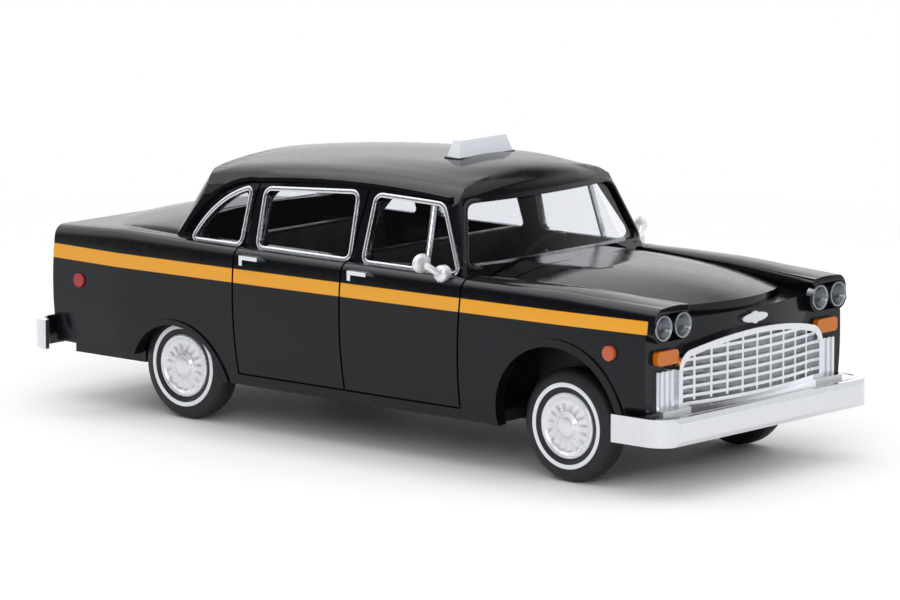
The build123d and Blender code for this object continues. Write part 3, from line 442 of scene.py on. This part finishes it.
def add_wheel(axle, label):
    side, body = SIDES[label], axle + "_wheelset"
    centre = (AXLES[axle], side * WHEEL_Y, TYRE_R)

    def lobes(radius, turn):
        return side * LOBE_HEIGHT * max(0.0, 1 - abs(radius - LOBE_R) / LOBE_SPAN) * cos(LOBES * turn)

    verts = lathe(mirrored(TYRE, side), centre, "y", WHEEL_STEPS)
    faces = ring_faces(len(TYRE), WHEEL_STEPS, closed=True)
    tyre = add_mesh("tyre_%s_%s" % (axle, label), verts, faces, rubber, body, sharp=50.0)
    tyre.data.materials.append(whitewall)
    for polygon in tyre.data.polygons:
        p = polygon.center / MM
        radius = hypot(p.x - centre[0], p.z - centre[2])
        if RING_INNER < radius < RING_OUTER and abs(p.y) > WHEEL_Y:
            polygon.material_index = 1
    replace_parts(tyre, "%s_tyre_%s" % (axle, label))
    verts = lathe(mirrored(CAP, side), centre, "y", WHEEL_STEPS, lobes)
    faces = ring_faces(len(CAP), WHEEL_STEPS)
    cap = add_mesh("cover_%s_%s" % (axle, label), verts, faces, satin, body, sharp=50.0)
    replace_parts(cap, "%s_wheel_cap_%s" % (axle, label))


for axle in AXLES:
    for label in SIDES:
        add_wheel(axle, label)

# Twin headlamps: grey bezels with hollow reflectors, domed clear lenses
BEZEL = (
    (-0.49, 0.2), (-0.49, 0.87), (0.02, 0.87), (0.09, 0.84), (0.1, 0.76), (0.04, 0.7), (-0.08, 0.66),
    (-0.3, 0.5), (-0.4, 0.28), (-0.42, 0.001),
)
LENS = ((0.03, 0.68), (0.1, 0.56), (0.15, 0.42), (0.18, 0.24), (0.2, 0.001))
LAMP_Y, LAMP_Z, LAMP_STEPS = (7.35, 9.35), 11.15, 48


def add_lamps(name, label, profile, mat):
    """A pair of lamp pieces, one over each of the two places on a side."""
    verts, faces = [], []
    for lamp_y in LAMP_Y:
        faces += ring_faces(len(profile), LAMP_STEPS, len(verts))
        verts += lathe(profile, (NOSE_X, SIDES[label] * lamp_y, LAMP_Z), "x", LAMP_STEPS)
    return add_mesh(name + label, verts, faces, mat, "car")


for label in SIDES:
    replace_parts(add_lamps("lamp_bezels_", label, BEZEL, lamp_grey), "headlamps_" + label)
    add_lamps("lamp_lenses_", label, LENS, clear_lens)

# The shell: creases up to these degrees are shaded smooth, more of them over the height ROOF_FROM
CREASE, ROOF_CREASE, ROOF_FROM = 24.0, 42.0, 17.4
WELD = 200  # steps per millimetre within which corners are at one point
FLAT = 0.99999  # cosine over which a corner's normal is its face's own


def add_shell():
    """The shell's own mesh, with the normals averaged across its shallow creases."""
    mesh = nodes["body_shell"].data.copy()
    mesh.materials.clear()
    mesh.materials.append(paint)
    normals = [n.vector.copy() for n in mesh.corner_normals]
    flat, points = [False] * len(normals), {}
    for polygon in mesh.polygons:
        corners = list(polygon.loop_indices)
        level = all(normals[c].dot(polygon.normal) > FLAT for c in corners)
        for c in corners:
            flat[c] = level
            co = mesh.vertices[mesh.loops[c].vertex_index].co
            points.setdefault(tuple(round(v * WELD / MM) for v in co), []).append(c)
    result = list(normals)
    for point, corners in points.items():
        limit = cos(radians(ROOF_CREASE if point[2] > ROOF_FROM * WELD else CREASE))
        for c in corners:
            if flat[c]:
                continue
            near = [d for d in corners if normals[d].dot(normals[c]) > limit]
            near = [d for d in near if flat[d]] or near
            unique = {tuple(round(v, 2) for v in normals[d]): normals[d] for d in near}
            result[c] = sum(unique.values(), Vector()).normalized()
    mesh.normals_split_custom_set([tuple(n) for n in result])
    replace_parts(place("shell", mesh, "car"), "body_shell")


add_shell()

# Rounded crowns along the tops of the wings: tables of (x, value)
WING_TOP = ((-28.35, 12.55), (-20.75, 12.95), (-8.8, 12.85), (7.2, 12.85), (19.6, 12.8), (28.0, 12.45))
WING_HALF = ((-28.35, 10.0), (-20.75, 10.7), (-8.8, 10.85), (7.2, 10.85), (19.6, 10.77), (28.0, 10.45))
WING_EDGE = 1.25
WING_STEPS, WING_ACROSS = 24, 12
# Control points of a crown's section: the edge it is near, shift outward, height, share of the rise
WING_CURVE = (
    ("outer", 0.6, -0.21, 0.0), ("outer", 0.1, 0.0, 0.3),
    ("inner", -0.35, 0.0, 0.5), ("inner", -0.12, -0.4, 0.0),
)
WING_CROWNS = {
    "front": dict(
        span=(11.6, 27.6), inner=((10.7, 8.45), (28.1, 6.7)),
        rise=((11.0, 0.5), (15.0, 0.85), (22.0, 1.0), (28.0, 0.45))),
    "rear": dict(
        span=(-27.75, -14.6), inner=((-27.75, 7.9), (-21.8, 8.7), (-12.8, 8.75)),
        rise=((-28.0, 0.3), (-20.0, 0.5), (-14.0, 0.3))),
}


def wing_section(row, px, side):
    """A cubic curve over the wing, from its outer edge to its inner one."""
    top, rise = table(WING_TOP, px), table(row["rise"], px)
    edges = dict(outer=table(WING_HALF, px) - WING_EDGE, inner=table(row["inner"], px))
    control = [(edges[edge] + shift, top + up + share * rise) for edge, shift, up, share in WING_CURVE]
    section = []
    for k in range(WING_ACROSS + 1):
        t = k / WING_ACROSS
        weights = ((1 - t) ** 3, 3 * t * (1 - t) ** 2, 3 * t * t * (1 - t), t**3)
        py, pz = (sum(w * c[i] for w, c in zip(weights, control)) for i in (0, 1))
        section.append((px, side * py, pz))
    return section


for end, row in WING_CROWNS.items():
    rear_x, front_x = row["span"]
    for label, side in SIDES.items():
        stations = (rear_x + (front_x - rear_x) * i / WING_STEPS for i in range(WING_STEPS + 1))
        verts, faces = swept([wing_section(row, px, side) for px in stations])
        add_mesh("wing_crown_%s_%s" % (end, label), verts, faces, paint, "car", sharp=40.0)

# Fuller crown over the roof, rolled gently down into the windscreen header
CROWN_REAR, CROWN_PEAK, CROWN_FRONT = -11.0, 3.0, 9.8
CROWN_LIFT, CROWN_FOOT, CROWN_BASE = 0.22, 17.64, 17.2
CROWN_HALF, CROWN_FULL = 7.7, 3.6
CROWN_THICK, CROWN_SINK = 0.35, 0.03
# Height of the dark strip under the sign, a painted shadow, over the crown
SIGN_SHADOW_LIFT = 0.04
CROWN_REAR_STEPS, CROWN_ROLL_STEPS, CROWN_COLUMNS = 24, 60, 72
HEADER_DEPTH = 1.56
BEND_FROM, BEND_OVER = 5.0, 3.0


def roof_line(px):
    return ROOF_TOP - sagitta(ROOF_BOW, px - ROOF_X)


def crown_line():
    """The crown's middle line, back to front: x, z and share of the front roll."""
    run, peak = CROWN_PEAK - CROWN_REAR, roof_line(CROWN_PEAK) + CROWN_LIFT
    pull = (CROWN_PEAK - ROOF_X) / ROOF_BOW * run / CROWN_LIFT
    line = []
    for i in range(CROWN_REAR_STEPS):
        t = i / CROWN_REAR_STEPS
        rise = 3 * t**2 - 2 * t**3 + pull * (t**3 - t**2)
        px = CROWN_REAR + run * t
        line.append((px, roof_line(px) + CROWN_LIFT * rise, 0.0))
    reach, drop = CROWN_FRONT - CROWN_PEAK, peak - CROWN_BASE
    last = (1 - ((CROWN_FOOT - CROWN_BASE) / drop) ** 3) ** (1 / 3)
    for i in range(CROWN_ROLL_STEPS + 1):
        t = last * (1 - (1 - i / CROWN_ROLL_STEPS) ** 2)
        line.append((CROWN_PEAK + reach * t, CROWN_BASE + drop * (1 - t**3) ** (1 / 3), t))
    return line


def crown_section(skin, px, pz, roll):
    """One row across the crown, blended into the shell towards the sides, and back beneath."""
    screen = SCREENS["front"]
    bent = min(max((px - BEND_FROM) / BEND_OVER, 0), 1)
    bent = bent**2 * (3 - 2 * bent) / cos(radians(screen["rake"]))
    falling = min(1, (pz - CROWN_FOOT) / HEADER_DEPTH) if roll else 1
    top, bottom = [], []
    for j in range(CROWN_COLUMNS + 1):
        py = CROWN_HALF * (2 * j / CROWN_COLUMNS - 1)
        keep = cos(pi / 2 * max(abs(py) - CROWN_FULL, 0) / (CROWN_HALF - CROWN_FULL)) ** 2
        free = Vector((px - sagitta(screen["bend"], py) * bent, py, pz - sagitta(ROOF_BEND, py) * falling))
        base, normal = skin.find_nearest(free)[:2]
        point = base + (free - base) * keep - normal * CROWN_SINK * (1 - keep)
        top.append(point)
        bottom.append(point - normal * CROWN_THICK)
    return top + bottom[::-1]


def on_roof(px, py, lift):
    return (px, py, roof_line(px) + CROWN_LIFT + SIGN_SHADOW_LIFT - sagitta(ROOF_BEND, py) + lift)


shell = nodes["body_shell"].data
skin = BVHTree.FromPolygons([v.co / MM for v in shell.vertices], [tuple(q.vertices) for q in shell.polygons])
verts, faces = swept([crown_section(skin, *row) for row in crown_line()])
add_mesh("roof_crown", verts, faces, paint, "car", sharp=60.0)

# Dark strip under the sign, a painted shadow: a black strip standing for the shade in the gap where the sign
# meets the roof
SIGN_FOOT = [(3.16, -2.86), (4.44, -2.86), (4.44, 2.86), (3.16, 2.86)]
strip("sign_painted_shadow", SIGN_FOOT, SIGN_CORNER, on_roof, seal, SIGN_SHADOW)

# Silver recess behind the grille bars
RECESS_HALF, RECESS_FOOT, RECESS_COLUMNS = 7.45, 5.75, 60
RECESS_FRONT, RECESS_BACK, RECESS_MARGIN = 0.07, 0.03, 0.2
ARCH_TOP, ARCH_BOW, ARCH_HALF = 10.15, 29.4, 6.6
SHOULDER_TOP, SHOULDER_DROP, SHOULDER_WIDTH, SHOULDER_POWER = 9.4, 1.2, 1.1, 1.5


def across(half, columns):
    return [half * (2 * j / columns - 1) for j in range(columns + 1)]


def nose_panel(py):
    return max(NOSE_TIP - sagitta(NOSE_BOW, py), NOSE_END)


def grille_arch(py):
    """Height of the grille's opening at a width."""
    if abs(py) <= ARCH_HALF:
        return ARCH_TOP - sagitta(ARCH_BOW, py)
    return SHOULDER_TOP - SHOULDER_DROP * ((abs(py) - ARCH_HALF) / SHOULDER_WIDTH) ** SHOULDER_POWER


def recess_section(py):
    front, back = nose_panel(py) + RECESS_FRONT, nose_panel(py) + RECESS_BACK
    head = grille_arch(py) - RECESS_MARGIN
    return [(front, py, RECESS_FOOT), (front, py, head), (back, py, head), (back, py, RECESS_FOOT)]


verts, faces = swept([recess_section(py) for py in across(RECESS_HALF, RECESS_COLUMNS)])
add_mesh("grille_recess", verts, faces, recess, "car")

# Plated shelf between the foot of the grille and the front bumper: share of its depth and height
SHELF = ((0.0, 5.47), (0.25, 5.43), (0.6, 5.41), (0.85, 5.44), (1.0, 5.48))
SHELF_HALF, SHELF_EDGE, SHELF_THICK, SHELF_COLUMNS = 10.75, 28.85, 0.14, 48
SHELF_TUCK = 0.15
CORNER_FROM, CORNER_DEPTH = 9.0, 0.5
SHELF_LOOP = SHELF + tuple((share, pz - SHELF_THICK) for share, pz in reversed(SHELF))


def shelf_section(py):
    inner = nose_panel(py) - SHELF_TUCK
    corner = max((abs(py) - CORNER_FROM) / (SHELF_HALF - CORNER_FROM), 0.0)
    depth = SHELF_EDGE - CORNER_DEPTH * corner**2 - inner
    return [(inner + depth * share, py, pz) for share, pz in SHELF_LOOP]


verts, faces = swept([shelf_section(py) for py in across(SHELF_HALF, SHELF_COLUMNS)])
add_mesh("bumper_shelf", verts, faces, chrome, "car")

# Door mirrors: domed head, bent arm and rounded foot
HEAD = (
    (-0.25, 0.001), (-0.25, 0.6), (-0.21, 0.7), (-0.1, 0.77), (0.05, 0.75), (0.18, 0.62), (0.28, 0.38),
    (0.32, 0.001),
)
FOOT = ((-0.35, 0.6), (0.0, 0.6), (0.18, 0.55), (0.33, 0.4), (0.4, 0.001))
ARM = ((9.4, 10.4, 12.9), (9.3, 10.85, 13.15), (9.0, 11.2, 13.45), (8.7, 11.42, 13.66))
HEAD_AT, FOOT_AT = (8.6, 11.45, 13.72), (9.35, 10.35, 12.95)
HEAD_WIDE, HEAD_HIGH = 1.1, 0.86
MIRROR_STEPS, ARM_STEPS, ARM_RADIUS = 40, 16, 0.24


def to_side(point, side):
    return Vector((point[0], side * point[1], point[2]))


def tube(path, radius, count):
    """Rings round a path."""
    verts = []
    for i, q in enumerate(path):
        forward = (path[min(i + 1, len(path) - 1)] - path[max(i - 1, 0)]).normalized()
        u = forward.cross(Vector((1, 0, 0))).normalized()
        w = forward.cross(u)
        turns = (2 * pi * j / count for j in range(count))
        verts += [q + (u * cos(turn) + w * sin(turn)) * radius for turn in turns]
    return verts


for label, side in SIDES.items():
    dome = lathe(HEAD, (0, 0, 0), "x", MIRROR_STEPS)
    verts = [to_side(HEAD_AT, side) + Vector((a, b * HEAD_WIDE, c * HEAD_HIGH)) for a, b, c in dome]
    faces = ring_faces(len(HEAD), MIRROR_STEPS)
    faces += ring_faces(len(FOOT), MIRROR_STEPS, len(verts))
    verts += lathe(mirrored(FOOT, side), to_side(FOOT_AT, side), "y", MIRROR_STEPS)
    faces += ring_faces(len(ARM), ARM_STEPS, len(verts))
    verts += tube([to_side(q, side) for q in ARM], ARM_RADIUS, ARM_STEPS)
    mirror = add_mesh("door_mirror_" + label, verts, faces, satin, "car", sharp=50.0)
    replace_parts(mirror, "mirror_" + label)

# Camera at the photograph's angle
AZIMUTH, ELEVATION, DISTANCE = radians(41.1), radians(9.317), 380.09
TARGET = Vector((1.094, -0.006, 9.024)) * MM
back = Vector((sin(AZIMUTH) * cos(ELEVATION), -cos(AZIMUTH) * cos(ELEVATION), sin(ELEVATION)))
lens = bpy.data.cameras.new("camera")
lens.lens = 219.3
lens.sensor_width = 36.0
lens.clip_start = 0.01
camera = bpy.data.objects.new("camera", lens)
camera.location = TARGET + back * DISTANCE * MM
camera.rotation_euler = back.to_track_quat("Z", "Y").to_euler()
bpy.context.collection.objects.link(camera)
bpy.context.scene.camera = camera

# Pale floor that fades into the white world; seen directly, it is a little whiter beyond the footprint,
# painted light that lightens the car's shadow there
FLOOR_RADIUS, FLOOR_DROP = 0.6, 0.02 * MM
FLOOR_FADE = (0.036, 0.12)
FOOTPRINT_X, FOOTPRINT_Y, FOOTPRINT_FADE = 20 * MM, 10.5 * MM, 6 * MM
FLOOR_PAINTED_LIFT = 0.13


def floor_material():
    mat, tree, shader = new_material("floor_white")
    where = position(tree)
    x, y = split(tree, where)[:2]
    tone = blend_colour(tree, noise(tree, where, 60.0), rgb(248, 248, 249), rgb(252, 252, 252))
    plug(tree, tone, shader.inputs["Base Color"])
    shader.inputs["Roughness"].default_value = 0.6
    shader.inputs["Specular IOR Level"].default_value = 0.1
    beyond = calc(tree, "MAXIMUM", calc(tree, "SUBTRACT", calc(tree, "ABSOLUTE", x), FOOTPRINT_X),
                  calc(tree, "SUBTRACT", calc(tree, "ABSOLUTE", y), FOOTPRINT_Y))
    # Painted light: an emitted lift, seen only directly, that lightens the floor and the car's shadow beyond
    # the footprint
    lift = ramp(tree, beyond, 0.0, FOOTPRINT_FADE, 0.0, FLOOR_PAINTED_LIFT)
    lift = calc(tree, "MULTIPLY", lift, new(tree, "LightPath").outputs["Is Camera Ray"])
    plug(tree, lift, shader.inputs["Emission Strength"])
    shader.inputs["Emission Color"].default_value = WHITE
    length = new(tree, "VectorMath", operation="LENGTH")
    tree.links.new(where, length.inputs[0])
    fade = new(tree, "MixShader")
    plug(tree, ramp(tree, length.outputs["Value"], *FLOOR_FADE), fade.inputs[0])
    tree.links.new(shader.outputs[0], fade.inputs[1])
    tree.links.new(new(tree, "BsdfTransparent").outputs[0], fade.inputs[2])
    tree.links.new(fade.outputs[0], tree.nodes["Material Output"].inputs["Surface"])
    return mat


bpy.ops.mesh.primitive_circle_add(
    vertices=64, radius=FLOOR_RADIUS, fill_type="NGON", location=(0, 0, -FLOOR_DROP))
floor = bpy.context.object
floor.name = "floor"
floor.data.materials.append(floor_material())

# World: a white floor all round, a white backdrop beyond the car, a wide soft glow and a dim room elsewhere
# Each ramp is (from, to, strength at from, strength at to)
GLOW_WAY, BACKDROP_WAY = (-0.807, 0.143, 0.574), (-0.657, 0.754, 0.0)
GROUND = (-0.02, 0.05, 0.95, 0.0)
GLOW = (0.66, 0.88, 0.12, 1.6)
BACKDROP_FOOT, BACKDROP_HEAD = (0.1, 0.3, 1.0, 1.55), (0.44, 0.68, 1.0, 0.0)
BACKDROP_SPREAD = (-0.2, 0.6, 0.0, 1.0)
MATT_SHARE, DOME = 0.3, 0.42


def world_strength(tree):
    way = new(tree, "TexCoord").outputs["Generated"]
    up = split(tree, way)[2]
    path = new(tree, "LightPath").outputs

    def along(direction):
        node = new(tree, "VectorMath", operation="DOT_PRODUCT")
        tree.links.new(way, node.inputs[0])
        node.inputs[1].default_value = direction
        return node.outputs["Value"]

    ground = ramp(tree, up, *GROUND)
    glow = ramp(tree, along(GLOW_WAY), *GLOW)
    height = calc(tree, "MULTIPLY", ramp(tree, up, *BACKDROP_FOOT), ramp(tree, up, *BACKDROP_HEAD))
    backdrop = calc(tree, "MULTIPLY", ramp(tree, along(BACKDROP_WAY), *BACKDROP_SPREAD), height)
    reflected = ramp(tree, path["Is Glossy Ray"], 0.0, 1.0, MATT_SHARE, 1.0)
    above = calc(tree, "MULTIPLY", calc(tree, "MAXIMUM", glow, backdrop), reflected)
    dome = ramp(tree, path["Is Diffuse Ray"], 0.0, 1.0, 0.0, DOME)
    level = calc(tree, "MAXIMUM", calc(tree, "MAXIMUM", ground, dome), above)
    seen = calc(tree, "MAXIMUM", path["Is Camera Ray"], path["Is Transmission Ray"])
    return calc(tree, "MAXIMUM", level, seen)


world = bpy.data.worlds.new("studio")
bpy.context.scene.world = world
world.use_nodes = True
sky = world.node_tree.nodes["Background"]
plug(world.node_tree, world_strength(world.node_tree), sky.inputs["Strength"])
sky.inputs["Color"].default_value = WHITE


# Lamps, in metres and watts
def soft_light(name, at, aim, size, power):
    data = bpy.data.lights.new(name, "AREA")
    data.shape = "RECTANGLE"
    data.size, data.size_y = size
    data.energy = power
    lamp = bpy.data.objects.new(name, data)
    lamp.location = at
    lamp.rotation_euler = (Vector(at) - Vector(aim)).to_track_quat("Z", "Y").to_euler()
    bpy.context.collection.objects.link(lamp)


soft_light("overhead", at=(0.01, -0.02, 0.32), aim=(0, 0, 0), size=(0.62, 0.54), power=0.98)
soft_light("front_fill", at=(0.26, -0.34, 0.2), aim=(0, 0, 0.01), size=(0.3, 0.16), power=0.5)

bpy.context.scene.view_settings.view_transform = "Standard"
